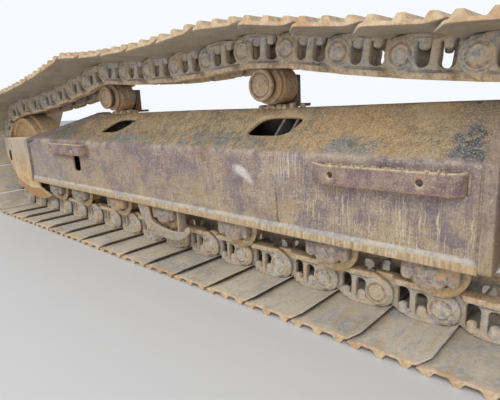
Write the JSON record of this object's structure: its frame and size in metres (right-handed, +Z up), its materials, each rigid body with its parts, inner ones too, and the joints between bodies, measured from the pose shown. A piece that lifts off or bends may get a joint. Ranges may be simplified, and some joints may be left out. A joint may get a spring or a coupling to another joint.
{
  "type": "crawler track unit",
  "caption": "Crawler track unit of a digging machine: a welded track frame with idler, sprocket and rollers inside a closed loop of links and ribbed steel shoes.",
  "frame": {"origin": "on the ground below the middle of the track's bounding box", "axes": "+X along the track towards the sprocket, +Y towards the machine's middle (the mounting pads), +Z up; the outer side shown in the picture faces -Y"},
  "size_m": [4.6098, 0.7, 1.0422],
  "materials": {
    "shoe_steel": "worn steel under dried clay, rust on the edges",
    "link_steel": "forged steel, dusty, rails worn",
    "frame_paint": "faded dark paint, rusted and dusty",
    "guide_paint": "worn paint over orange rust",
    "wheel_iron": "rough cast, rusty",
    "roller_steel": "turned steel, rusted",
    "motor_paint": "dusty dark paint"
  },
  "bodies": {
    "root": {"track_shoes": "shoe_steel", "chain_links_outer": "link_steel", "chain_links_inner": "link_steel", "chain_bushings": "link_steel", "side_plate_outer": "frame_paint", "side_plate_inner": "frame_paint", "roof_plate_outer": "frame_paint", "roof_plate_inner": "frame_paint", "crest_plate": "frame_paint", "floor_plate": "frame_paint", "diaphragms": "frame_paint", "rear_end_plate": "frame_paint", "nose_plate_outer": "guide_paint", "nose_plate_inner": "guide_paint", "idler_guide_rails": "roller_steel", "idler_wheel": "wheel_iron", "idler_shaft": "roller_steel", "idler_blocks": "wheel_iron", "idler_yoke": "roller_steel", "recoil_spring_case": "roller_steel", "track_roller_1": "roller_steel", "track_roller_2": "roller_steel", "track_roller_3": "roller_steel", "track_roller_4": "roller_steel", "track_roller_5": "roller_steel", "track_roller_6": "roller_steel", "track_roller_7": "roller_steel", "roller_shafts": "roller_steel", "roller_collars_outer": "wheel_iron", "roller_collars_inner": "wheel_iron", "carrier_roller_front": "roller_steel", "carrier_roller_rear": "roller_steel", "carrier_posts": "frame_paint", "track_guard": "frame_paint", "step_bar_front": "frame_paint", "step_bar_rear": "frame_paint", "sprocket_ring": "wheel_iron", "final_drive_case": "wheel_iron", "travel_motor": "motor_paint", "drive_bracket": "frame_paint", "mount_leg_front": "frame_paint", "mount_leg_rear": "frame_paint", "mount_pad_front": "roller_steel", "mount_pad_rear": "roller_steel"}
  },
  "joints": []
}
